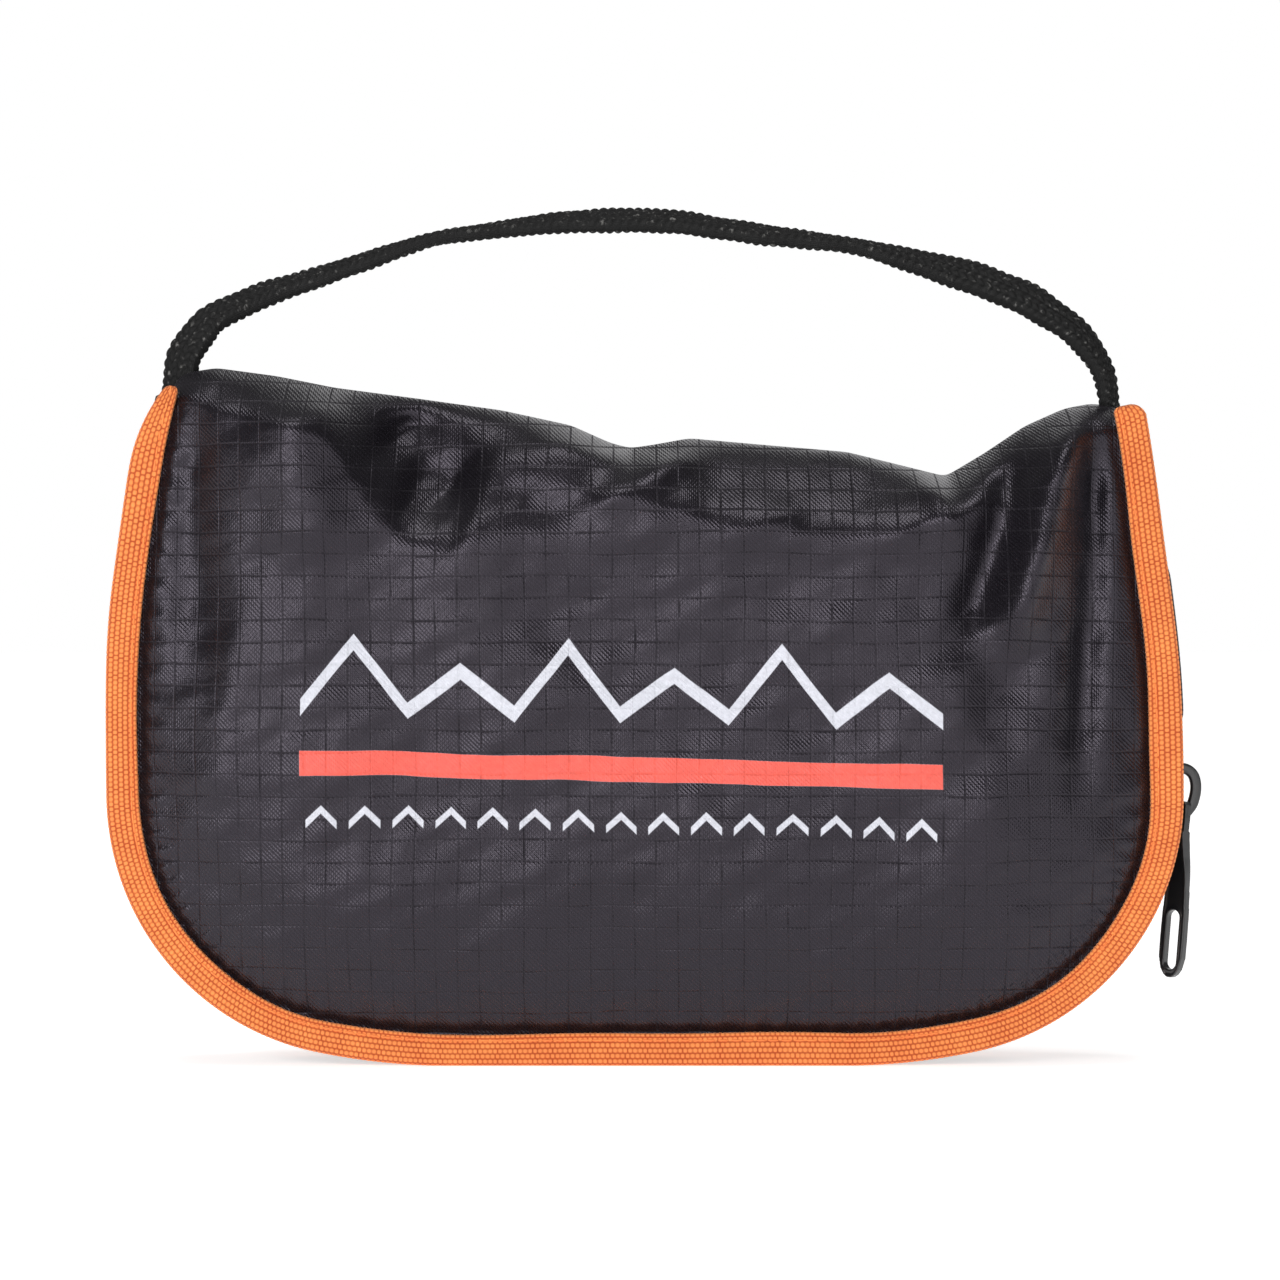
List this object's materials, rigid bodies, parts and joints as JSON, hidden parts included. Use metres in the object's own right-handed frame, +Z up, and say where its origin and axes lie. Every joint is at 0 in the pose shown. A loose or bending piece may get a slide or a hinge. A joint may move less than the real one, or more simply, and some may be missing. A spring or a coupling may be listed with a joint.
{
  "type": "zip pouch for microspikes",
  "caption": "Closed clam-shell zip pouch with a round-cornered bound front, ripstop panels, coil zip round three sides and a webbing handle; carries a pair of microspikes.",
  "frame": {"origin": "on the ground, under the middle of the whole case, slider and pull included", "axes": "+Z up towards the handle, +X to the right, front panel towards -Y"},
  "size_m": [0.2536, 0.056, 0.2007],
  "materials": {
    "ripstop": "thin coated ripstop nylon, satin sheen",
    "binding": "woven orange binding tape",
    "binding_thread": "orange sewing thread",
    "zip_tape": "black woven zip tape",
    "zip_coil": "black nylon coil",
    "zip_stop": "black moulded stop",
    "slider_metal": "black enamelled die casting",
    "pull_metal": "black enamelled die casting",
    "webbing": "coarse black woven webbing",
    "tack_thread": "black sewing thread"
  },
  "bodies": {
    "back": {"back_panel": "ripstop", "back_binding": "binding", "back_binding_seam": "binding_thread", "back_zip_tape": "zip_tape", "back_zip_coil": "zip_coil", "back_top_stop": "zip_stop", "bottom_stop": "zip_stop", "left_handle_tack": "tack_thread", "right_handle_tack": "tack_thread"},
    "front": {"front_panel": "ripstop", "front_binding": "binding", "front_binding_seam": "binding_thread", "front_zip_tape": "zip_tape", "front_zip_coil": "zip_coil", "front_top_stop": "zip_stop"},
    "slider": {"slider_body": "slider_metal", "slider_bail": "slider_metal"},
    "pull": {"pull_tab": "pull_metal"},
    "handle": {"handle": "webbing"}
  },
  "joints": [
    {"name": "flap_open", "type": "hinge", "parent": "back", "child": "front", "pos_m": [-0.0029, -0.004, 0.1527], "axis": [-1, 0, 0], "range_deg": [0, 140]},
    {"name": "slider_travel", "type": "hinge", "parent": "back", "child": "slider", "pos_m": [-0.35395, 0, 0.06226], "axis": [0, -1, 0], "range_deg": [0, 9]},
    {"name": "pull_swing", "type": "hinge", "parent": "slider", "child": "pull", "pos_m": [0.12295, 0, 0.05936], "axis": [0, -1, 0], "range_deg": [0, 100]},
    {"name": "handle_swing", "type": "hinge", "parent": "back", "child": "handle", "pos_m": [-0.0029, 0.005, 0.1546], "axis": [-1, 0, 0], "range_deg": [0, 90], "stiffness_Nm_per_rad": 0.01}
  ]
}
